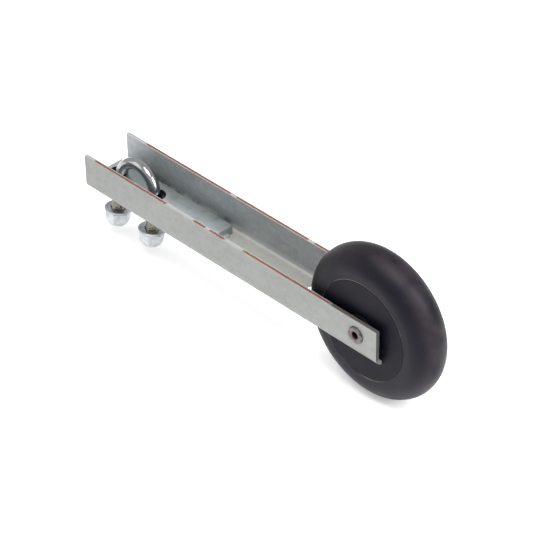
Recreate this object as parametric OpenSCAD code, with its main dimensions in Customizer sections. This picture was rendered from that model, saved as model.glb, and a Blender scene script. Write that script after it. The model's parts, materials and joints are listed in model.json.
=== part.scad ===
// Gate wheel: folded channel bracket, U-bolt clamp and crowned wheel.
// Origin: underside of the channel web, midway between the U-bolt legs.
// +X runs along the bracket towards the wheel, +Y across it, +Z out of its open side.

/* [Bracket] */
// Length of the channel, from its plain end to its fork end
channel_l = 340; // [300:1:380]
// Outside width across the two flanges
channel_w = 50; // [48:0.5:56]
// Height of the flanges, over the web
channel_h = 33.8; // [31:0.1:38]
// Thickness of the folded sheet
sheet_t = 3.2; // [2.8:0.1:3.4]
// Inside radius of the two long bends
bend_r = 4.8; // [4.5:0.1:5]
// Distance from the plain end to the middle of the U-bolt
seat_x = 36.5; // [35:0.5:42]
// Distance from the plain end to where the web stops short of the wheel
web_l = 230; // [200:1:240]
// Width of the fork slot cut in the web around the wheel
slot_w = 37.4; // [37:0.1:38]
// Radius in the corners where the slot starts
slot_r = 12; // [4:1:16]

/* [Stiffening bar] */
// Length of the flat bar that stiffens the clamp end
bar_l = 137; // [100:1:160]
// Width of the bar
bar_w = 30; // [26:1:31]
// Thickness of the bar
bar_t = 8; // [6:0.5:8]
// Leg length of the fillet weld across the bar's free end
end_weld_leg = 3; // [2:0.5:4]
// Length of that weld
end_weld_l = 22; // [14:1:24]
// Leg length of the fillet weld on each long side of the bar, if the bends leave room for it
side_weld_leg = 2; // [1:0.5:3]
// Length of the weld on each long side of the bar
side_weld_l = 30; // [15:1:60]

/* [U-bolt] */
// Height of the point that the bolt leans about, inside its holes
lean_z = 5.7; // [5:0.1:6]
// Distance between the leg axes
leg_pitch = 43; // [41:0.5:45]
// Diameter of the plain bow
rod_d = 10.3; // [9.5:0.1:10.6]
// Outside diameter of the rolled thread
thread_d = 11.8; // [11.6:0.1:12]
// Height of the bow's centre over the point that the bolt leans about
bow_z = 1; // [0:0.5:3]
// Length of the legs below that point
leg_l = 42.4; // [40:0.2:46]
// Length of the thread on each leg
thread_l = 32; // [28:1:34]
// How far the hanging bolt leans sideways at rest, in degrees
lean = 7.75; // [0:0.25:8]
// Diameter of the two leg holes
leg_hole_d = 17; // [16.8:0.1:17.4]
// Distance between the leg holes
leg_hole_pitch = 47.4; // [47.2:0.1:48]

/* [Washers and nuts] */
// Washer diameter
washer_d = 24; // [23:0.5:25]
// Washer hole diameter
washer_hole_d = 13; // [12.6:0.1:13.5]
// Washer thickness
washer_t = 2.5; // [2:0.1:3]
// Distance from the leaning point down to the washers' upper faces
washer_drop = 27.5; // [26:0.5:29]
// Width of the nuts across their flats
nut_af = 19; // [18:0.5:19]
// Height of the hexagon
nut_hex_h = 8.8; // [8:0.2:9.6]
// Height of the collar that holds the nylon ring
nut_collar_h = 4.8; // [4:0.2:5]
// Outside diameter of the collar
nut_collar_d = 17; // [16:0.2:17.4]
// Outside diameter of the nylon ring
insert_d = 14; // [13.6:0.2:14.4]
// Height of the nylon ring
insert_h = 2.6; // [2:0.2:3]

/* [Wheel] */
// Outside diameter of the wheel
wheel_d = 133; // [126:1:134]
// Width of the wheel, which is also twice the radius of its crowned tread
wheel_w = 36; // [35:0.5:36]
// Diameter of the wheel's core, inside the tyre
core_d = 88; // [80:1:90]
// Distance from the fork end to the axle
axle_x = 22; // [20:0.5:24]
// Height of the axle over the underside of the web
axle_z = 20; // [19:0.5:21]

/* [Axle] */
// Diameter of the hollow axle
axle_d = 12; // [11:0.5:12]
// Diameter of the hole through the axle
axle_hole_d = 6.5; // [5:0.5:7]
// Diameter of the rolled-over heads
head_d = 15; // [14:0.5:16]
// How far the heads stand out from the flanges
head_t = 1.7; // [1:0.1:2.5]
// Outside diameter of the plain bushes
bush_d = 16; // [15:0.5:17]
// Length of each bush
bush_l = 15; // [10:1:17]
// Radial running clearance between the axle and the bushes
run_gap = 0.06; // [0.03:0.01:0.08]
// Diameter of the shouldered spacers beside the wheel
spacer_d = 29; // [24:0.5:30]
// Thickness of each spacer's disc
spacer_disc_t = 2; // [1.5:0.1:2.2]
// Diameter of each spacer's shoulder, which rests on the flange
shoulder_d = 20; // [16:0.5:22]
// Gap between each spacer and the wheel
spacer_gap = 0.3; // [0.3:0.05:0.4]

/* [Hidden] */
$fn = 96;

cut = 1;
x_start = -seat_x;
x_fork_end = channel_l - seat_x;
x_web_end = web_l - seat_x;
x_wheel = x_fork_end - axle_x;
inner_half = channel_w / 2 - sheet_t;
side_leg = min(side_weld_leg, inner_half - bend_r - bar_w / 2);
bar_top = sheet_t + bar_t;
x_bar_end = bar_l - seat_x;
leg_x = leg_pitch / 2;
axle_r = axle_d / 2;
bush_r = bush_d / 2;
thread_r = thread_d / 2;
thread_gap = 0.06;
weld_hollow = 1.6;
weld_throat = 1.62;
nut_corner_d = nut_af / cos(30);
nut_chamfer = 1;
nut_face_drop = 0.7;
collar_round = 2.2;
collar_lip = 0.6;
head_round = 0.8;
side_half = wheel_w / 2;
fit_play = 0.1;

// Outline of the folded sheet, seen along +X: a U with rounded bends.
module u_outline(half, r) {
    translate([-half, r]) square([2 * half, channel_h - r]);
    translate([-half + r, 0]) square([2 * (half - r), channel_h]);
    for (side = [-1, 1]) {
        translate([side * (half - r), r]) circle(r);
    }
}

module folded_sheet() {
    rotate([90, 0, 90]) linear_extrude(channel_l) difference() {
        u_outline(channel_w / 2, bend_r + sheet_t);
        translate([0, sheet_t]) u_outline(inner_half, bend_r);
        translate([-inner_half, channel_h - cut]) square([2 * inner_half, 2 * cut]);
    }
}

// Slot that takes the web away around the wheel and leaves a lip along each bend.
module fork_slot() {
    translate([x_web_end + slot_r, -slot_w / 2, -cut])
        cube([x_fork_end - x_web_end, slot_w, bend_r + sheet_t + cut]);
    for (side = [-1, 1]) {
        translate([x_web_end + slot_r, side * (slot_w / 2 - slot_r), -cut])
            cylinder(r = slot_r, h = bend_r + sheet_t + cut);
    }
    translate([x_web_end, -slot_w / 2 + slot_r, -cut])
        cube([2 * slot_r, slot_w - 2 * slot_r, bend_r + sheet_t + cut]);
}

module leg_holes(z_low, z_high) {
    for (side = [-1, 1]) {
        translate([side * leg_hole_pitch / 2, 0, z_low])
            cylinder(d = leg_hole_d, h = z_high - z_low);
    }
}

module channel_bracket() {
    color("silver") difference() {
        translate([x_start, 0, 0]) folded_sheet();
        fork_slot();
        leg_holes(-cut, sheet_t + cut);
        translate([x_wheel, 0, axle_z]) rotate([90, 0, 0])
            cylinder(r = axle_r, h = channel_w + 2 * cut, center = true);
    }
}

module stiffening_bar() {
    color("gainsboro") difference() {
        translate([x_start, -bar_w / 2, sheet_t]) cube([bar_l, bar_w, bar_t]);
        leg_holes(sheet_t - cut, bar_top + cut);
    }
}

// Fillet weld with a hollow face. Its corner runs along +X, and its legs along +Y and +Z.
module fillet_weld(run, leg) {
    color("lightgray") rotate([90, 0, 90]) linear_extrude(run, center = true) difference() {
        polygon([[0, 0], [leg, 0], [0, leg]]);
        translate([leg * weld_hollow, leg * weld_hollow]) circle(leg * weld_throat);
    }
}

module weld_end() {
    translate([x_bar_end, 0, sheet_t]) rotate([0, 0, -90]) fillet_weld(end_weld_l, end_weld_leg);
}

module side_weld(side) {
    translate([x_bar_end / 2, side * bar_w / 2, sheet_t])
        rotate([0, 0, side > 0 ? 0 : 180]) fillet_weld(side_weld_l, side_leg);
}

module weld_near() { side_weld(-1); }
module weld_far() { side_weld(1); }

// Places children in the U-bolt's own frame: +Z up its legs, origin at the leaning point.
module leaning() {
    translate([0, 0, lean_z]) rotate([-lean, 0, 0]) children();
}

module u_bolt() {
    color("silver") leaning() {
        translate([0, 0, bow_z]) rotate([90, 0, 0])
            rotate_extrude(angle = 180) translate([leg_x, 0]) circle(d = rod_d);
        for (side = [-1, 1]) {
            translate([side * leg_x, 0, -leg_l]) {
                cylinder(r = thread_r, h = thread_l);
                cylinder(d = rod_d, h = leg_l + bow_z);
            }
        }
    }
}

module washer_at(side) {
    color("lightgray") leaning() translate([side * leg_x, 0, -washer_drop - washer_t])
        difference() {
            cylinder(d = washer_d, h = washer_t);
            translate([0, 0, -cut]) cylinder(d = washer_hole_d, h = washer_t + 2 * cut);
        }
}

// Lock nut with its collar downwards. Z = 0 is the washer face.
module lock_nut() {
    nut_h = nut_hex_h + nut_collar_h;
    difference() {
        union() {
            intersection() {
                translate([0, 0, -nut_hex_h])
                    cylinder(d = nut_corner_d, h = nut_hex_h, $fn = 6);
                rotate_extrude() polygon([
                    [0, 0],
                    [nut_af / 2, 0],
                    [nut_corner_d / 2, -nut_face_drop],
                    [nut_corner_d / 2, -nut_hex_h + 2 * nut_chamfer],
                    [nut_af / 2 - nut_chamfer, -nut_hex_h],
                    [0, -nut_hex_h]
                ]);
            }
            translate([0, 0, -nut_h]) rotate_extrude() union() {
                square([nut_collar_d / 2 - collar_round, nut_collar_h + cut]);
                translate([0, collar_round])
                    square([nut_collar_d / 2, nut_collar_h + cut - collar_round]);
                translate([nut_collar_d / 2 - collar_round, collar_round])
                    circle(collar_round);
            }
        }
        translate([0, 0, -nut_h - cut])
            cylinder(r = thread_r + thread_gap, h = nut_h + 2 * cut);
        translate([0, 0, -nut_h + collar_lip]) cylinder(d = insert_d, h = insert_h);
    }
}

module nut_at(side) {
    color("lightgray") leaning()
        translate([side * leg_x, 0, -washer_drop - washer_t]) lock_nut();
}

module insert_at(side) {
    color("whitesmoke") leaning()
        translate([side * leg_x, 0, -washer_drop - washer_t - nut_hex_h - nut_collar_h + collar_lip])
            difference() {
                cylinder(d = insert_d, h = insert_h);
                translate([0, 0, -cut]) cylinder(r = thread_r + thread_gap, h = insert_h + 2 * cut);
            }
}

module washer_left() { washer_at(-1); }
module washer_right() { washer_at(1); }
module nut_left() { nut_at(-1); }
module nut_right() { nut_at(1); }
module nut_insert_left() { insert_at(-1); }
module nut_insert_right() { insert_at(1); }

// Places children at the axle, with their +Z along +Y.
module on_axle() {
    translate([x_wheel, 0, axle_z]) rotate([-90, 0, 0]) children();
}

module tyre() {
    flat_r = wheel_d / 2 - side_half;
    color([0.16, 0.16, 0.18]) on_axle() rotate_extrude($fn = 180) difference() {
        union() {
            translate([flat_r, 0]) circle(side_half);
            translate([core_d / 2, -side_half]) square([flat_r - core_d / 2, wheel_w]);
        }
        translate([0, -side_half - cut]) square([core_d / 2, wheel_w + 2 * cut]);
    }
}

// Core: a solid moulded disc with a bore for the bushes.
module wheel_core() {
    color([0.18, 0.18, 0.2]) on_axle() difference() {
        cylinder(d = core_d, h = wheel_w, center = true, $fn = 180);
        cylinder(r = bush_r, h = wheel_w + 2 * cut, center = true);
    }
}

module bush_at(side) {
    color("tan") on_axle() translate([0, 0, side * (side_half - bush_l / 2)]) difference() {
        cylinder(r = bush_r, h = bush_l, center = true);
        cylinder(r = axle_r + run_gap, h = bush_l + 2 * cut, center = true);
    }
}

// Spacer with its disc towards the wheel and its narrower shoulder against the flange.
module spacer_at(side) {
    spacer_t = inner_half - side_half - spacer_gap;
    color([0.2, 0.2, 0.21]) on_axle() difference() {
        union() {
            translate([0, 0, side * (side_half + spacer_gap + spacer_disc_t / 2)])
                cylinder(d = spacer_d, h = spacer_disc_t, center = true);
            translate([0, 0, side * (inner_half - spacer_t / 2)])
                cylinder(d = shoulder_d, h = spacer_t, center = true);
        }
        translate([0, 0, side * (inner_half - spacer_t / 2)])
            cylinder(r = axle_r + fit_play, h = spacer_t + 2 * cut, center = true);
    }
}

module bush_near() { bush_at(-1); }
module bush_far() { bush_at(1); }
module spacer_near() { spacer_at(-1); }
module spacer_far() { spacer_at(1); }

// Hollow axle: a tube with both ends rolled over against the flanges.
module axle() {
    half = channel_w / 2;
    color("rosybrown") on_axle() rotate_extrude() difference() {
        union() {
            translate([0, -half - head_t]) square([axle_r, channel_w + 2 * head_t]);
            for (side = [-1, 1]) {
                translate([0, side * (half + head_t / 2) - head_t / 2])
                    square([head_d / 2 - head_round, head_t]);
                translate([0, side * (half + (head_t - head_round) / 2) - (head_t - head_round) / 2])
                    square([head_d / 2, head_t - head_round]);
                translate([head_d / 2 - head_round, side * (half + head_t - head_round)])
                    circle(head_round, $fn = 32);
            }
        }
        translate([0, -half - head_t - cut])
            square([axle_hole_d / 2, channel_w + 2 * head_t + 2 * cut]);
    }
}

channel_bracket();
stiffening_bar();
weld_end();
weld_near();
weld_far();
u_bolt();
washer_left();
nut_left();
nut_insert_left();
washer_right();
nut_right();
nut_insert_right();
tyre();
wheel_core();
bush_near();
bush_far();
spacer_near();
spacer_far();
axle();
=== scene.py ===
import json
import math

import bmesh
import bpy
from mathutils import Matrix, Vector


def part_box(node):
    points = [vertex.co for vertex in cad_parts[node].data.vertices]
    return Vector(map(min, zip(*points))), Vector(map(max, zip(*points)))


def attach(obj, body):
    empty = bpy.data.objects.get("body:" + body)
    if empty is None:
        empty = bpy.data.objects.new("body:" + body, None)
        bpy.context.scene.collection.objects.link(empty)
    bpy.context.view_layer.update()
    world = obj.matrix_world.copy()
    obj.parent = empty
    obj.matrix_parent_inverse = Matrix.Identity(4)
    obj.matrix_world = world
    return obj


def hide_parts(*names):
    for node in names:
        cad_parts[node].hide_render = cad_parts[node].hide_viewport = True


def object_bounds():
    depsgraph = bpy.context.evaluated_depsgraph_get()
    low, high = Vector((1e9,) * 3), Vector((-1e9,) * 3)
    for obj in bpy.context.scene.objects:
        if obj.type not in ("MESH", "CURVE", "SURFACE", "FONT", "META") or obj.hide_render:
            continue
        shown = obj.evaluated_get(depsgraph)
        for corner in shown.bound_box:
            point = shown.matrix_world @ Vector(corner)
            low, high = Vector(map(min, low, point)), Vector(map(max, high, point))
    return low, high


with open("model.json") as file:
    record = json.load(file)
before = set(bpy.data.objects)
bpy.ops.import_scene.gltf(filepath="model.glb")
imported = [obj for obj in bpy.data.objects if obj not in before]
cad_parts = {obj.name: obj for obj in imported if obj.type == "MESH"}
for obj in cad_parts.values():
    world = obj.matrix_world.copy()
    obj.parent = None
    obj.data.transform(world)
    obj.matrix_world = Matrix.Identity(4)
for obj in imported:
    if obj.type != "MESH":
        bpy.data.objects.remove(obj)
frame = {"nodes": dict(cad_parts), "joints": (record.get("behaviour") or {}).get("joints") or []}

MM = 0.001
cad_lo, cad_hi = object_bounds()
nodes = frame["nodes"]
joints = {j["name"]: j for j in frame["joints"]}

# ---------------------------------------------------------------- places from the frame
channel_lo, channel_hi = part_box("channel_bracket")
bar_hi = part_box("stiffening_bar")[1]
tyre_lo, tyre_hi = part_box("tyre")
core_lo, core_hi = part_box("wheel_core")
axle_lo, axle_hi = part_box("axle")

wheel_axis = Matrix.Translation(joints["wheel_spin"]["pos_m"]) @ Matrix.Rotation(-math.pi / 2, 4, "X")


def leaning_frame(x):
    """Frame of a U-bolt leg or of the bow: +Z up the legs, origin at the point that the bolt leans about."""
    pos = Vector(joints["left_nut_turn"]["pos_m"])
    up = Vector(joints["clamp_lift"]["axis"])
    turn = Vector((0, 0, 1)).rotation_difference(up).to_matrix().to_4x4()
    return Matrix.Translation((x, pos.y, pos.z)) @ turn


def local_box(node, matrix):
    """Lowest and highest corner of a CAD node in another frame."""
    back = matrix.inverted()
    points = [back @ v.co for v in nodes[node].data.vertices]
    low = Vector(min(p[i] for p in points) for i in range(3))
    high = Vector(max(p[i] for p in points) for i in range(3))
    return low, high


# ---------------------------------------------------------------- sizes that the nodes' boxes don't give
SHEET_T = 3.2 * MM
BEND_TOP = 6.5 * MM
# Leg holes in the web and the bar
HOLE_X, HOLE_R = 23.7 * MM, 8.5 * MM
# U-bolt: its bar, the centre line of its bow, and its rolled thread
ROD_R = 5.15 * MM
BOW_CENTRE, BOW_R = 6.7 * MM, 21.5 * MM
THREAD_PITCH, THREAD_LENGTH, THREAD_DEPTH, THREAD_CHAMFER = 1.75 * MM, 32 * MM, 1.0 * MM, 1.2 * MM
NUT_BORE_R, NUT_BORE_CHAMFER, WASHER_BORE_R = 5.96 * MM, 0.9 * MM, 6.5 * MM
# Axle: its through hole, its shaft, and the mouth of its rolled-over heads
AXLE_BORE_R, AXLE_SHAFT_R, AXLE_MOUTH_R, AXLE_MOUTH_DROP = 3.25 * MM, 6.0 * MM, 4.4 * MM, 0.55 * MM
BUSH_BORE_R = 6.06 * MM
SPACER_BORE_R, SPACER_DISC_T, SPACER_SHOULDER_R = 6.1 * MM, 2 * MM, 10 * MM


# ---------------------------------------------------------------- material helpers
class Nodes:
    """Short calls for building one node material."""

    def __init__(self, name):
        self.material = bpy.data.materials.new(name)
        self.material.use_nodes = True
        self.tree = self.material.node_tree
        self.shader = self.tree.nodes["Principled BSDF"]
        self.place = self.tree.nodes.new("ShaderNodeTexCoord").outputs["Object"]

    def add(self, kind, **settings):
        node = self.tree.nodes.new(kind)
        for key, value in settings.items():
            setattr(node, key, value)
        return node

    def link(self, source, target):
        self.tree.links.new(source, target)

    def put(self, target, value):
        if isinstance(value, bpy.types.NodeSocket):
            self.link(value, target)
        else:
            target.default_value = value

    def math(self, operation, a, b=0.0, clamp=False):
        node = self.add("ShaderNodeMath", operation=operation, use_clamp=clamp)
        self.put(node.inputs[0], a)
        self.put(node.inputs[1], b)
        return node.outputs[0]

    def mapped(self, scale=(1, 1, 1)):
        node = self.add("ShaderNodeMapping")
        self.link(self.place, node.inputs["Vector"])
        node.inputs["Scale"].default_value = scale
        return node.outputs["Vector"]

    def noise(self, scale, detail=4.0, roughness=0.55, stretch=(1, 1, 1), distortion=0.0):
        node = self.add("ShaderNodeTexNoise")
        self.link(self.mapped(stretch), node.inputs["Vector"])
        node.inputs["Scale"].default_value = scale
        node.inputs["Detail"].default_value = detail
        node.inputs["Roughness"].default_value = roughness
        node.inputs["Distortion"].default_value = distortion
        return node.outputs["Fac"]

    def cells(self, scale, stretch=(1, 1, 1)):
        node = self.add("ShaderNodeTexVoronoi")
        self.link(self.mapped(stretch), node.inputs["Vector"])
        node.inputs["Scale"].default_value = scale
        split = self.add("ShaderNodeSeparateColor")
        self.link(node.outputs["Color"], split.inputs[0])
        return split.outputs[0]

    def span(self, value, low, high, out_low=0.0, out_high=1.0, smooth=False):
        node = self.add("ShaderNodeMapRange", interpolation_type="SMOOTHSTEP" if smooth else "LINEAR")
        self.put(node.inputs["Value"], value)
        for key, number in (("From Min", low), ("From Max", high),
                            ("To Min", out_low), ("To Max", out_high)):
            node.inputs[key].default_value = number
        return node.outputs["Result"]

    def mix(self, share, a, b):
        node = self.add("ShaderNodeMix", data_type="RGBA")
        self.put(node.inputs["Factor"], share)
        self.put(node.inputs[6], a if isinstance(a, bpy.types.NodeSocket) else (*a, 1))
        self.put(node.inputs[7], b if isinstance(b, bpy.types.NodeSocket) else (*b, 1))
        return node.outputs[2]

    def axes(self):
        node = self.add("ShaderNodeSeparateXYZ")
        self.link(self.place, node.inputs[0])
        return node.outputs

    def radius(self, centre):
        """Distance from the wheel's axis, in metres."""
        axes = self.axes()
        dx = self.math("SUBTRACT", axes[0], centre.x)
        dz = self.math("SUBTRACT", axes[2], centre.z)
        squares = self.math("ADD", self.math("MULTIPLY", dx, dx), self.math("MULTIPLY", dz, dz))
        return self.math("SQRT", squares)

    def band(self, value, middle, half_width):
        """1 at middle, falling to 0 at half_width from it."""
        away = self.math("ABSOLUTE", self.math("SUBTRACT", value, middle))
        return self.span(away, 0.0, half_width, 1.0, 0.0, smooth=True)

    def bump(self, height, strength, distance):
        node = self.add("ShaderNodeBump")
        self.link(height, node.inputs["Height"])
        node.inputs["Strength"].default_value = strength
        node.inputs["Distance"].default_value = distance
        self.link(node.outputs["Normal"], self.shader.inputs["Normal"])

    def finish(self, color, roughness, metallic=0.0, **sockets):
        self.put(self.shader.inputs["Base Color"], color)
        self.put(self.shader.inputs["Roughness"], roughness)
        self.shader.inputs["Metallic"].default_value = metallic
        for key, value in sockets.items():
            self.shader.inputs[key.replace("_", " ")].default_value = value
        return self.material


# ---------------------------------------------------------------- materials
# Stretches of the flanges' top edges that show bare, rusty steel, from the plain end, in mm.
RUST_NEAR = ((12, 100), (133, 147), (152, 170), (191, 288))
RUST_FAR = ((24, 127), (134, 217), (224, 338))
# The rust lies on the broken half of the sheared edge, measured from the flange's outer face.
RUST_FROM_OUTSIDE = 1.4 * MM
RUST_HALF_WIDTH = 1.15 * MM
# Painted shade: the walls of the leg holes are coloured near black
HOLE_SHADE_COLOR = (0.035, 0.035, 0.035)
# Stretch of the near flange's top edge that is dark, beside the wheel, measured from the fork's end
DARK_FROM, DARK_TO = 54 * MM, 48 * MM


def interval_mask(m, x, stretches, length):
    """1 inside the stretches along x, 0 outside, with short soft ends. x runs from 0 to 1 over length mm."""
    ramp = m.add("ShaderNodeValToRGB")
    m.link(x, ramp.inputs["Fac"])
    soft = 0.6 / length
    stops = ramp.color_ramp.elements
    stops[0].position, stops[0].color = 0.0, (0, 0, 0, 1)
    stops[1].position, stops[1].color = 1.0, (0, 0, 0, 1)
    for start, end in stretches:
        for at, level in ((start / length - soft, 0), (start / length + soft, 1),
                          (end / length - soft, 1), (end / length + soft, 0)):
            stop = stops.new(at)
            stop.color = (level, level, level, 1)
    return ramp.outputs["Color"]


def hole_shade_mask(m, axes):
    """1 on the walls of the two leg holes, where shade is painted, 0 on the faces around them."""
    share = 0.0
    for middle in (-HOLE_X, HOLE_X):
        dx = m.math("SUBTRACT", axes[0], middle)
        squares = m.math("ADD", m.math("MULTIPLY", dx, dx), m.math("MULTIPLY", axes[1], axes[1]))
        inside = m.math("LESS_THAN", squares, (HOLE_R + 0.1 * MM) ** 2)
        share = m.math("ADD", inside, share, clamp=True)
    return share


def galvanised_sheet():
    m = Nodes("galvanised_sheet")
    axes = m.axes()
    cloud = m.noise(28, detail=5, stretch=(1, 1, 1.6))
    streak = m.noise(60, detail=3, stretch=(0.12, 1, 2.5))
    fine = m.noise(900, detail=2)
    spangle = m.cells(260)
    tone = m.math("ADD", m.math("MULTIPLY", cloud, 0.45),
                  m.math("ADD", m.math("MULTIPLY", streak, 0.3), m.math("MULTIPLY", spangle, 0.25)))
    tone = m.span(tone, 0.25, 0.75)
    zinc = m.mix(tone, (0.225, 0.230, 0.221), (0.268, 0.273, 0.264))
    across = m.math("ABSOLUTE", axes[1])
    # Painted light: the inner walls get a lighter, cooler copy of the same zinc
    inner_wall_painted_light = m.math("LESS_THAN", across, channel_hi.y - SHEET_T / 2 + 0.1 * MM)
    inner_wall_painted_light = m.math("MULTIPLY", inner_wall_painted_light, m.span(axes[2], 4.4 * MM, BEND_TOP))
    zinc = m.mix(inner_wall_painted_light, zinc, m.mix(tone, (0.285, 0.31, 0.32), (0.40, 0.42, 0.425)))
    # Painted light: the web's upper face gets a lighter, warmer copy of the same zinc
    floor = m.math("LESS_THAN", across, channel_hi.y - SHEET_T - 0.1 * MM)
    floor = m.math("MULTIPLY", floor, m.span(axes[2], 4.6 * MM, 3.6 * MM))
    zinc = m.mix(floor, zinc, m.mix(tone, (0.345, 0.342, 0.315), (0.41, 0.407, 0.38)))
    # Patchy darkening low on the walls, in the corner beside the bar
    away = m.math("ABSOLUTE", m.math("SUBTRACT", across, channel_hi.y - SHEET_T - 0.3 * MM))
    corner_dark_patches = m.math("MULTIPLY", m.span(away, 0.0, 3.0 * MM, 1.0, 0.0), m.span(axes[2], 11 * MM, 7 * MM))
    corner_dark_patches = m.math("MULTIPLY", corner_dark_patches, m.span(axes[0], bar_hi.x + 2 * MM, bar_hi.x - 10 * MM))
    corner_dark_patches = m.math("MULTIPLY", corner_dark_patches, m.span(m.noise(70, detail=4), 0.42, 0.6))
    zinc = m.mix(m.math("MULTIPLY", corner_dark_patches, 0.8), zinc, (0.07, 0.06, 0.055))
    # Painted shade on the walls of the leg holes
    zinc = m.mix(hole_shade_mask(m, axes), zinc, HOLE_SHADE_COLOR)

    # Rust along the sheared top edges
    length = (channel_hi.x - channel_lo.x) / MM
    wobble = m.math("MULTIPLY", m.math("SUBTRACT", m.noise(300, detail=2), 0.5), 0.012)
    along = m.math("ADD", m.span(axes[0], channel_lo.x, channel_hi.x), wobble)
    near = interval_mask(m, along, RUST_NEAR, length)
    far = interval_mask(m, along, RUST_FAR, length)
    side = m.math("GREATER_THAN", axes[1], 0.0)
    stretches = m.mix(side, near, far)
    ragged = m.math("MULTIPLY", m.math("SUBTRACT", m.noise(420, detail=3), 0.5), 0.9 * MM)
    top = m.span(axes[2], channel_hi.z - 0.35 * MM, channel_hi.z - 0.1 * MM)
    sheared = m.math("ADD", across, ragged)
    away = m.math("ABSOLUTE", m.math("SUBTRACT", sheared, channel_hi.y - RUST_FROM_OUTSIDE))
    stripe = m.span(away, RUST_HALF_WIDTH - 0.2 * MM, RUST_HALF_WIDTH + 0.2 * MM, 1.0, 0.0)
    rust_share = m.math("MULTIPLY", m.math("MULTIPLY", top, stripe), stretches)
    rust_share = m.math("MULTIPLY", rust_share, m.span(m.noise(650, detail=3), 0.22, 0.42, 0.55, 1.0))
    rust = m.mix(m.noise(500, detail=4), (0.13, 0.045, 0.03), (0.27, 0.115, 0.085))
    bare = m.mix(m.math("MULTIPLY", top, 0.5), zinc, (0.48, 0.46, 0.46))
    color = m.mix(rust_share, bare, rust)

    # The dark end of the near top edge, and painted shade on the fork's end faces
    dark_end = m.math("MULTIPLY", top, m.span(axes[0], channel_hi.x - DARK_FROM, channel_hi.x - DARK_TO))
    dark_end = m.math("MULTIPLY", dark_end, m.math("LESS_THAN", axes[1], 0.0))
    color = m.mix(m.math("MULTIPLY", dark_end, 0.85), color, (0.07, 0.055, 0.048))
    end_face_shade = m.math("GREATER_THAN", axes[0], channel_hi.x - 0.25 * MM)
    end_face_shade = m.math("MULTIPLY", end_face_shade, m.span(axes[2], 5 * MM, 7 * MM))
    color = m.mix(m.math("MULTIPLY", end_face_shade, 0.75), color, (0.06, 0.065, 0.065))
    rough = m.math("ADD", m.span(tone, 0, 1, 0.52, 0.44), m.math("MULTIPLY", rust_share, 0.3))
    m.bump(m.math("ADD", m.math("MULTIPLY", cloud, 0.7), m.math("MULTIPLY", fine, 0.3)), 0.15, 0.3 * MM)
    return m.finish(color, rough, 0.5, Specular_IOR_Level=0.4)


def galvanised_bar():
    m = Nodes("galvanised_bar")
    cloud = m.noise(32, detail=5)
    smear = m.noise(70, detail=4, stretch=(0.25, 1, 1))
    fine = m.noise(800, detail=2)
    tone = m.span(m.math("ADD", m.math("MULTIPLY", cloud, 0.6), m.math("MULTIPLY", smear, 0.4)), 0.32, 0.68)
    color = m.mix(tone, (0.50, 0.54, 0.555), (0.68, 0.715, 0.73))
    axes = m.axes()
    # Painted shade: the bar's end face gets a darker teal copy of the zinc
    face = m.math("GREATER_THAN", axes[0], bar_hi.x - 0.2 * MM)
    color = m.mix(m.math("MULTIPLY", face, 0.75), color, (0.30, 0.37, 0.38))
    # Painted shade: the bar darkens toward its far side
    far_side_shade = m.span(axes[1], -9 * MM, bar_hi.y, 0.0, 0.58)
    color = m.mix(far_side_shade, color, (0.15, 0.17, 0.17))
    # Patchy stains, strongest where the far-side shade is painted: partly stains, partly painted shade
    stain_and_shade = m.math("MULTIPLY", m.span(m.noise(90, detail=5), 0.5, 0.66), far_side_shade)
    color = m.mix(m.math("MULTIPLY", stain_and_shade, 0.7), color, (0.10, 0.09, 0.08))
    # Painted shade on the walls of the leg holes
    color = m.mix(hole_shade_mask(m, axes), color, HOLE_SHADE_COLOR)
    m.bump(m.math("ADD", cloud, m.math("MULTIPLY", fine, 0.05)), 0.12, 0.4 * MM)
    return m.finish(color, m.span(tone, 0, 1, 0.40, 0.30), 0.85)


def weld_metal():
    m = Nodes("weld_metal")
    grain = m.noise(400, detail=4)
    color = m.mix(grain, (0.13, 0.14, 0.14), (0.28, 0.29, 0.285))
    m.bump(grain, 0.25, 0.15 * MM)
    return m.finish(color, m.span(grain, 0.3, 0.7, 0.65, 0.5), 0.5)


def bright_zinc():
    m = Nodes("bright_zinc")
    cloud = m.noise(110, detail=4)
    fine = m.noise(1400, detail=2)
    color = m.mix(m.span(cloud, 0.35, 0.65), (0.26, 0.265, 0.265), (0.37, 0.38, 0.38))
    axes = m.axes()
    height = axes[2]
    rise = m.math("SUBTRACT", height, BOW_CENTRE)
    around_bow = m.math("SQRT", m.math("ADD", m.math("MULTIPLY", axes[0], axes[0]),
                                       m.math("MULTIPLY", rise, rise)))
    # Painted shade on the bow's inner side, standing in for dark reflections there. The legs are yellower
    inner = m.span(around_bow, BOW_R + 0.5 * MM, BOW_R - 3.5 * MM, 0.0, 0.7, smooth=True)
    color = m.mix(inner, color, (0.13, 0.135, 0.135))
    yellow = m.span(height, -3 * MM, -9 * MM, 0.0, 0.55)
    color = m.mix(yellow, color, (0.40, 0.38, 0.31))
    m.bump(cloud, 0.05, 0.2 * MM)
    return m.finish(color, m.span(fine, 0.3, 0.7, 0.10, 0.16), 1.0)


def washer_zinc():
    m = Nodes("washer_zinc")
    cloud = m.noise(160, detail=4)
    fine = m.noise(1200, detail=2)
    color = m.mix(m.span(cloud, 0.35, 0.65), (0.27, 0.285, 0.305), (0.44, 0.455, 0.48))
    m.bump(m.math("ADD", cloud, m.math("MULTIPLY", fine, 0.2)), 0.18, 0.15 * MM)
    return m.finish(color, m.span(fine, 0.3, 0.7, 0.22, 0.34), 0.95)


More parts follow.
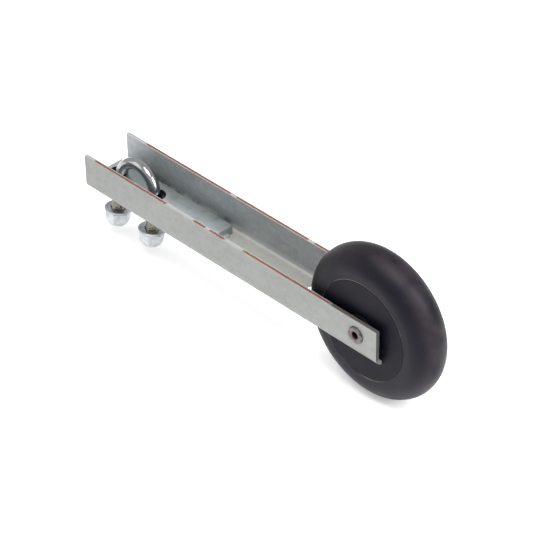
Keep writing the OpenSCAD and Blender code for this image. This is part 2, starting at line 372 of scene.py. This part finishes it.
def nut_zinc():
    m = Nodes("nut_zinc")
    cloud = m.noise(210, detail=5)
    scuff = m.noise(520, detail=3, stretch=(1, 1, 0.35))
    tone = m.span(m.math("ADD", m.math("MULTIPLY", cloud, 0.6), m.math("MULTIPLY", scuff, 0.4)), 0.33, 0.67)
    color = m.mix(tone, (0.39, 0.415, 0.43), (0.60, 0.625, 0.64))
    m.bump(m.math("ADD", cloud, m.math("MULTIPLY", scuff, 0.4)), 0.25, 0.15 * MM)
    return m.finish(color, m.span(tone, 0, 1, 0.46, 0.34), 0.6)


def nylon():
    m = Nodes("nylon")
    grain = m.noise(500, detail=3)
    m.bump(grain, 0.15, 0.1 * MM)
    return m.finish(m.mix(grain, (0.68, 0.68, 0.64), (0.82, 0.82, 0.78)), m.span(grain, 0.3, 0.7, 0.5, 0.4))


def black_moulding(name, dark, light, shine):
    """Satin black rubber or plastic with the faint pale line where the tyre meets the core."""
    m = Nodes(name)
    cloud = m.noise(22, detail=5)
    fine = m.noise(1100, detail=2)
    color = m.mix(m.span(cloud, 0.35, 0.65), dark, light)
    scuff = m.span(m.noise(140, detail=4, stretch=(1, 0.4, 1)), 0.62, 0.75, 0.0, 0.4)
    color = m.mix(scuff, color, (0.026, 0.023, 0.024))
    # A paler, browner tread: partly wear where it runs on the ground, partly a painted sheen
    wear_and_sheen = m.span(m.math("ABSOLUTE", m.axes()[1]), 16 * MM, 7 * MM, 0.0, 0.85, smooth=True)
    wear_and_sheen = m.math("MULTIPLY", wear_and_sheen, m.span(m.noise(48, detail=4), 0.38, 0.62))
    color = m.mix(wear_and_sheen, color, (0.020, 0.016, 0.018))
    ring = m.band(m.radius(Vector(joints["wheel_spin"]["pos_m"])), core_radius, 0.45 * MM)
    broken = m.span(m.noise(30, detail=3), 0.42, 0.62, 0.08, 0.75)
    side = m.math("GREATER_THAN", m.math("ABSOLUTE", m.axes()[1]), tyre_hi.y - 0.9 * MM)
    color = m.mix(m.math("MULTIPLY", m.math("MULTIPLY", ring, broken), side), color, (0.30, 0.25, 0.19))
    m.bump(m.math("ADD", m.math("MULTIPLY", cloud, 0.6), m.math("MULTIPLY", fine, 0.15)), 0.2, 0.3 * MM)
    return m.finish(color, m.span(cloud, 0.35, 0.65, 0.50, 0.40), 0.0, Specular_IOR_Level=shine,
                    Specular_Tint=(0.90, 0.86, 1.0, 1))


def bush_plastic():
    m = Nodes("bush_plastic")
    grain = m.noise(420, detail=3)
    m.bump(grain, 0.15, 0.1 * MM)
    return m.finish(m.mix(grain, (0.42, 0.36, 0.28), (0.58, 0.51, 0.41)), m.span(grain, 0.3, 0.7, 0.5, 0.4))


def axle_steel():
    m = Nodes("axle_steel")
    cloud = m.noise(240, detail=4)
    fine = m.noise(1500, detail=2)
    color = m.mix(m.span(cloud, 0.35, 0.65), (0.06, 0.050, 0.047), (0.17, 0.150, 0.144))
    # Painted shade: a darker ring in the recessed mouth of the bore
    bore = m.span(m.radius(Vector(joints["wheel_spin"]["pos_m"])), 3.5 * MM, 4.6 * MM, 0.8, 0.0)
    color = m.mix(bore, color, (0.10, 0.09, 0.09))
    m.bump(m.math("ADD", cloud, m.math("MULTIPLY", fine, 0.2)), 0.2, 0.15 * MM)
    return m.finish(color, m.span(fine, 0.3, 0.7, 0.26, 0.38), 0.85)


# ---------------------------------------------------------------- mesh helpers
SMOOTH_ANGLE = math.radians(32)


def new_piece(name, mesh, body, slot, material, *stands_for, smooth=SMOOTH_ANGLE):
    piece = bpy.data.objects.new(name, mesh)
    bpy.context.scene.collection.objects.link(piece)
    mesh.materials.clear()
    mesh.materials.append(material)
    mesh.shade_smooth()
    mesh.set_sharp_from_angle(angle=smooth)
    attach(piece, body)
    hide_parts(*stands_for)
    return piece


def grid_mesh(name, rings, matrix, closed):
    """Skins rings of points. Closed joins the last ring to the first, and otherwise both ends are capped."""
    bm = bmesh.new()
    rows = [[bm.verts.new(matrix @ Vector(p)) for p in ring] for ring in rings]
    count = len(rows[0])
    pairs = list(zip(rows, rows[1:]))
    if closed:
        pairs.append((rows[-1], rows[0]))
    for low, high in pairs:
        for i in range(count):
            j = (i + 1) % count
            bm.faces.new((low[i], low[j], high[j], high[i]))
    if not closed:
        bm.faces.new(rows[0][::-1])
        bm.faces.new(rows[-1])
    bmesh.ops.recalc_face_normals(bm, faces=bm.faces[:])
    mesh = bpy.data.meshes.new(name)
    bm.to_mesh(mesh)
    bm.free()
    return mesh


def rounded(corners, radii, steps=4):
    """Outline through the corners (r, z), each corner rounded by its own radius."""
    points = []
    count = len(corners)
    for i, (corner, radius) in enumerate(zip(corners, radii)):
        here = Vector(corner)
        if radius <= 0:
            points.append(here)
            continue
        a = (Vector(corners[i - 1]) - here).normalized()
        b = (Vector(corners[(i + 1) % count]) - here).normalized()
        half = a.angle(b) / 2
        reach = radius / math.tan(half)
        centre = here + (a + b).normalized() * (radius / math.sin(half))
        start, end = here + a * reach, here + b * reach
        for k in range(steps + 1):
            t = k / steps
            p = start.lerp(end, t) - centre
            points.append(centre + p.normalized() * radius)
    return points


def lathe(name, outline, matrix, turns=96):
    """Turns a closed outline of (r, z) points about the frame's own Z."""
    angles = [2 * math.pi * k / turns for k in range(turns)]
    rings = [[(p[0] * math.cos(a), p[0] * math.sin(a), p[1]) for a in angles] for p in outline]
    return grid_mesh(name, rings, matrix, closed=True)


def softened(node, name, body, slot, material, width):
    """A copy of a CAD node with its coplanar triangles merged and its edges rounded by width."""
    mesh = nodes[node].data.copy()
    mesh.name = name
    bm = bmesh.new()
    bm.from_mesh(mesh)
    bmesh.ops.remove_doubles(bm, verts=bm.verts[:], dist=0.005 * MM)
    bmesh.ops.dissolve_limit(bm, angle_limit=math.radians(0.5), verts=bm.verts[:], edges=bm.edges[:])
    bm.to_mesh(mesh)
    bm.free()
    if mesh.has_custom_normals:
        mesh.attributes.remove(mesh.attributes["custom_normal"])
    piece = new_piece(name, mesh, body, slot, material, node, smooth=math.pi)
    bevel = piece.modifiers.new("soft_edges", "BEVEL")
    bevel.width = width
    bevel.segments = 3
    bevel.limit_method = "ANGLE"
    bevel.angle_limit = math.radians(35)
    bevel.harden_normals = True
    bevel.use_clamp_overlap = True
    return piece


# ---------------------------------------------------------------- bracket
def make_bracket(zinc, bar, weld):
    softened("channel_bracket", "bracket_channel", "bracket", "galvanised_sheet", zinc, 0.35 * MM)
    softened("stiffening_bar", "clamp_end_bar", "bracket", "galvanised_bar", bar, 0.3 * MM)
    for node, out in (("weld_end", (1, 0, 0)), ("weld_near", (0, -1, 0)), ("weld_far", (0, 1, 0))):
        new_piece("bead_" + node, weld_bead(node, Vector(out)), "bracket", "weld_metal", weld, node)


def weld_bead(node, out):
    """A fillet at the bar's foot, with the ripples that a welder's torch leaves."""
    low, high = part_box(node)
    run = Vector((abs(out.y), abs(out.x), 0))
    length = (high - low).dot(run)
    leg = high.z - low.z
    foot = Vector((low.x, high.y if out.y < 0 else low.y, low.z))
    pitch, steps = 2.0 * MM, 6
    count = int(length / pitch * steps)
    rings = []
    for i in range(count + 1):
        base = foot + run * (length * i / count)
        end = min(1.0, 0.3 + min(i, count - i) / (1.5 * steps))
        size = leg * (0.84 + 0.16 * math.sin(math.pi * (i % steps) / steps)) * math.sin(end * math.pi / 2)
        ring = [base]
        for k in range(9):
            t = k / 8
            swell = 0.05 * math.sin(math.pi * t)
            ring.append(base + out * (size * (1 - t + swell)) + Vector((0, 0, size * (t + swell))))
        rings.append(ring)
    return grid_mesh(node + "_bead", rings, Matrix.Identity(4), closed=False)


# ---------------------------------------------------------------- clamp
def make_u_bolt(zinc):
    """Bow and two threaded legs, swept as one bar in the leaning frame."""
    home = leaning_frame(0)
    low, high = local_box("u_bolt", home)
    leg = abs(joints["left_nut_turn"]["pos_m"][0])
    thread_r = high.x - leg
    bow_z = high.z - leg - ROD_R
    root_r = thread_r - THREAD_DEPTH
    thread_top = low.z + THREAD_LENGTH
    around, per_pitch, bow_steps = 64, 16, 128

    def thread_radius(z, angle):
        phase = (z / THREAD_PITCH - angle / (2 * math.pi)) % 1.0
        wave = min(1.0, max(0.0, (abs(phase - 0.5) * 2 - 0.14) / 0.68))
        full = root_r + (thread_r - root_r) * wave
        fade = min(1.0, max(0.0, (thread_top - z) / (1.5 * THREAD_PITCH)))
        return ROD_R + (full - ROD_R) * fade

    def ring(centre, out, angle_of, radius_of):
        points = []
        for k in range(around):
            t = 2 * math.pi * k / around
            r = radius_of(angle_of(t))
            points.append(centre + out * (r * math.cos(t)) + Vector((0, r * math.sin(t), 0)))
        return points

    def leg_rings(side):
        """From the leg's end up to the bow."""
        def angle_of(t):
            return t if side > 0 else math.pi - t

        steps = int((thread_top - low.z) / THREAD_PITCH * per_pitch)
        heights = [low.z + (thread_top - low.z) * i / steps for i in range(steps + 1)]
        heights += [thread_top + (bow_z - thread_top) * i / 6 for i in range(1, 6)]
        rings = []
        for z in heights:
            limit = thread_r - THREAD_CHAMFER + max(0.0, z - low.z)
            centre = Vector((side * leg, 0, z))
            rings.append(ring(centre, Vector((side, 0, 0)), angle_of,
                              lambda a, z=z, limit=limit: min(thread_radius(z, a), limit)))
        return rings

    rings = leg_rings(1)
    for i in range(bow_steps + 1):
        t = math.pi * i / bow_steps
        out = Vector((math.cos(t), 0, math.sin(t)))
        rings.append(ring(out * leg + Vector((0, 0, bow_z)), out, lambda a: a, lambda a: ROD_R))
    rings += leg_rings(-1)[::-1]
    mesh = grid_mesh("u_bolt_bar", rings, home, closed=False)
    new_piece("clamp_u_bolt", mesh, "clamp", "bright_zinc", zinc, "u_bolt", smooth=math.radians(75))


def nut_mesh(name, home, low, high):
    """Lock nut: a hexagon with a chamfered top that tapers into a broad rounded collar."""
    corner_r = high.x
    flat = corner_r * math.cos(math.pi / 6)
    height = high.z - low.z
    around = 192
    top = high.z
    # (share of the height down from the top, largest radius there as a share of the flat radius)
    caps = ((0.0, 0.93), (0.03, 0.99), (0.06, 1.05), (0.09, 1.12), (0.12, 1.18), (0.30, 1.20), (0.45, 1.19),
            (0.54, 1.165), (0.60, 1.125), (0.66, 1.075), (0.71, 1.03), (0.76, 0.985), (0.81, 0.94),
            (0.86, 0.885), (0.90, 0.83), (0.935, 0.77), (0.965, 0.71), (0.99, 0.655), (1.0, 0.63))

    def outer(share, cap):
        rings = []
        for k in range(around):
            a = 2 * math.pi * k / around
            off = (a % (math.pi / 3)) - math.pi / 6
            hexagon = min(flat / math.cos(off), corner_r * 0.985)
            limit = flat * cap
            soft = 0.12 * MM
            r = -soft * math.log(math.exp(-hexagon / soft) + math.exp(-limit / soft))
            rings.append((r * math.cos(a), r * math.sin(a), top - share * height))
        return rings

    def inner(radius, z):
        return [(radius * math.cos(2 * math.pi * k / around), radius * math.sin(2 * math.pi * k / around), z)
                for k in range(around)]

    rings = [inner(NUT_BORE_R + NUT_BORE_CHAMFER, top)]
    shares = []
    for (s0, c0), (s1, c1) in zip(caps, caps[1:]):
        shares += [(s0 + (s1 - s0) * i / 3, c0 + (c1 - c0) * i / 3) for i in range(3)]
    shares.append(caps[-1])
    rings += [outer(s, c) for s, c in shares]
    bottom = low.z
    rings += [inner(NUT_BORE_R, bottom + 0.3 * MM), inner(NUT_BORE_R, top - NUT_BORE_CHAMFER)]
    return grid_mesh(name, rings, home, closed=True)


def make_fasteners(nut_material, washer_material, nylon_material):
    for side in ("left", "right"):
        home = leaning_frame(joints[side + "_nut_turn"]["pos_m"][0])
        low, high = local_box("washer_" + side, home)
        corners = [(WASHER_BORE_R, low.z), (high.x, low.z), (high.x, high.z), (WASHER_BORE_R, high.z)]
        outline = rounded(corners, [0.15 * MM, 0.55 * MM, 0.7 * MM, 0.25 * MM])
        new_piece("plain_washer_" + side, lathe("plain_washer_" + side, outline, home), side + "_washer",
                  "washer_zinc", washer_material, "washer_" + side)
        low, high = local_box("nut_" + side, home)
        mesh = nut_mesh("lock_nut_" + side, home, low, high)
        new_piece("lock_nut_" + side, mesh, side + "_nut", "nut_zinc", nut_material, "nut_" + side,
                  smooth=math.radians(40))
        low, high = local_box("nut_insert_" + side, home)
        corners = [(NUT_BORE_R, low.z), (high.x, low.z), (high.x, high.z), (NUT_BORE_R, high.z)]
        outline = rounded(corners, [0.3 * MM] * 4)
        new_piece("nylon_ring_" + side, lathe("nylon_ring_" + side, outline, home), side + "_nut", "nylon",
                  nylon_material, "nut_insert_" + side)


# ---------------------------------------------------------------- wheel
def make_wheel(rubber, core_material, bush_material):
    outer = (tyre_hi.x - tyre_lo.x) / 2
    half = (tyre_hi.y - tyre_lo.y) / 2
    flat = outer - half
    groove = 0.25 * MM
    crown = []
    steps = 64
    for k in range(steps + 1):
        a = -math.pi / 2 + math.pi * k / steps
        crown.append(Vector((flat + half * math.cos(a), half * math.sin(a))))
    outline = [Vector((core_radius, -half + groove)), Vector((core_radius + 0.3 * MM, -half))]
    outline += crown
    outline += [Vector((core_radius + 0.3 * MM, half)), Vector((core_radius, half - groove))]
    new_piece("crowned_tyre", lathe("crowned_tyre", outline, wheel_axis, turns=192), "wheel", "black_rubber",
              rubber, "tyre")
    bore = (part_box("bush_near")[1].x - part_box("bush_near")[0].x) / 2
    hub = bore + 5 * MM
    corners = [(bore, -half), (hub, -half), (hub + 0.8 * MM, -half + 0.35 * MM),
               (core_radius - 1.2 * MM, -half + 0.12 * MM), (core_radius, -half + 0.3 * MM),
               (core_radius, half - 0.3 * MM), (core_radius - 1.2 * MM, half - 0.12 * MM),
               (hub + 0.8 * MM, half - 0.35 * MM), (hub, half), (bore, half)]
    outline = rounded(corners, [0.4 * MM, 0.3 * MM, 0.3 * MM, 0.2 * MM, 0.15 * MM,
                                0.15 * MM, 0.2 * MM, 0.3 * MM, 0.3 * MM, 0.4 * MM])
    new_piece("wheel_disc", lathe("wheel_disc", outline, wheel_axis, turns=192), "wheel", "black_core",
              core_material, "wheel_core")
    for node in ("bush_near", "bush_far"):
        low, high = local_box(node, wheel_axis)
        corners = [(BUSH_BORE_R, low.z), (high.x, low.z), (high.x, high.z), (BUSH_BORE_R, high.z)]
        outline = rounded(corners, [0.4 * MM] * 4)
        new_piece("plain_" + node, lathe(node + "_ring", outline, wheel_axis), "wheel", "bush_plastic",
                  bush_material, node)


def make_axle(steel, spacer_material):
    half_channel = channel_hi.y
    half = axle_hi.y
    head_r = (axle_hi.x - axle_lo.x) / 2
    corners = [(AXLE_BORE_R, -half + AXLE_MOUTH_DROP), (AXLE_MOUTH_R, -half), (head_r, -half),
               (head_r, -half_channel), (AXLE_SHAFT_R, -half_channel), (AXLE_SHAFT_R, half_channel),
               (head_r, half_channel), (head_r, half), (AXLE_MOUTH_R, half),
               (AXLE_BORE_R, half - AXLE_MOUTH_DROP)]
    radii = [0.3 * MM, 0.5 * MM, 1.1 * MM, 0.2 * MM, 0.0, 0.0, 0.2 * MM, 1.1 * MM, 0.5 * MM, 0.3 * MM]
    new_piece("rolled_axle", lathe("rolled_axle", rounded(corners, radii, 5), wheel_axis), "bracket",
              "axle_steel", steel, "axle")
    for node in ("spacer_near", "spacer_far"):
        low, high = local_box(node, wheel_axis)
        side = 1 if high.z > 0 else -1
        inner, outer = sorted((low.z, high.z), key=abs)
        step = inner + side * SPACER_DISC_T
        corners = [(SPACER_BORE_R, inner), (high.x, inner), (high.x, step), (SPACER_SHOULDER_R, step),
                   (SPACER_SHOULDER_R, outer), (SPACER_BORE_R, outer)]
        outline = rounded(corners, [0.3 * MM, 0.4 * MM, 0.4 * MM, 0.3 * MM, 0.2 * MM, 0.2 * MM])
        new_piece("shouldered_" + node, lathe(node + "_disc", outline, wheel_axis), "bracket", "black_core",
                  spacer_material, node)


# ---------------------------------------------------------------- stage
def make_floor():
    mesh = bpy.data.meshes.new("floor")
    size, level = 6.0, cad_lo.z - 0.2 * MM
    corners = [(-size, -size, level), (size, -size, level), (size, size, level), (-size, size, level)]
    mesh.from_pydata(corners, [], [(0, 1, 2, 3)])
    floor = bpy.data.objects.new("floor", mesh)
    bpy.context.scene.collection.objects.link(floor)
    m = Nodes("pale_floor")
    mesh.materials.append(m.finish((0.93, 0.93, 0.93, 1), 0.9, Emission_Color=(1, 1, 1, 1),
                                   Emission_Strength=0.25))


def make_light(name, place, target, size, power, tint=(1, 1, 1)):
    data = bpy.data.lights.new(name, "AREA")
    data.shape = "RECTANGLE"
    data.size, data.size_y = size
    data.energy = power
    data.color = tint
    light = bpy.data.objects.new(name, data)
    light.location = place
    light.rotation_mode = "QUATERNION"
    light.rotation_quaternion = (Vector(target) - Vector(place)).to_track_quat("-Z", "Y")
    bpy.context.scene.collection.objects.link(light)


def make_studio():
    middle = (cad_lo + cad_hi) / 2
    world = bpy.data.worlds.new("studio")
    world.use_nodes = True
    world.node_tree.nodes["Background"].inputs["Color"].default_value = (0.985, 0.99, 1.0, 1)
    world.node_tree.nodes["Background"].inputs["Strength"].default_value = 0.82
    bpy.context.scene.world = world
    make_light("key", (0.35, -0.3, 1.5), middle, (0.8, 0.8), 17)
    make_light("side", (-1.0, -1.1, 0.8), middle, (1.0, 1.2), 4)
    make_light("rear", (1.40, 0.25, 0.95), middle, (0.6, 1.0), 20)


def make_camera():
    """The camera at the photograph's angle: right, up and back axes from azimuth, elevation and roll."""
    azimuth, elevation, roll = math.radians(46.69), math.radians(36.635), math.radians(-1.0)
    target, distance = Vector((0.1446, 0.0111, -0.0055)), 2.150
    back = Vector((math.sin(azimuth) * math.cos(elevation), -math.cos(azimuth) * math.cos(elevation),
                   math.sin(elevation)))
    data = bpy.data.cameras.new("photo_camera")
    data.sensor_width = 36
    data.lens = 178.8
    data.clip_start, data.clip_end = 0.01, 100
    camera = bpy.data.objects.new("photo_camera", data)
    camera.location = target + back * distance
    camera.rotation_mode = "QUATERNION"
    camera.rotation_quaternion = ((-back).to_track_quat("-Z", "Y").to_matrix()
                                  @ Matrix.Rotation(roll, 3, "Z")).to_quaternion()
    bpy.context.scene.collection.objects.link(camera)
    bpy.context.scene.camera = camera


# ---------------------------------------------------------------- build
core_radius = (core_hi.x - core_lo.x) / 2
core_look = black_moulding("black_core", (0.0030, 0.0026, 0.0060), (0.0040, 0.0034, 0.0070), 0.10)
washer_look = washer_zinc()
make_camera()
make_floor()
make_studio()
make_bracket(galvanised_sheet(), galvanised_bar(), weld_metal())
make_u_bolt(bright_zinc())
make_fasteners(nut_zinc(), washer_look, nylon())
make_wheel(black_moulding("black_rubber", (0.0030, 0.0026, 0.0060), (0.0060, 0.0048, 0.0080), 0.17),
           core_look, bush_plastic())
make_axle(axle_steel(), core_look)
bpy.context.scene.view_settings.view_transform = "Standard"
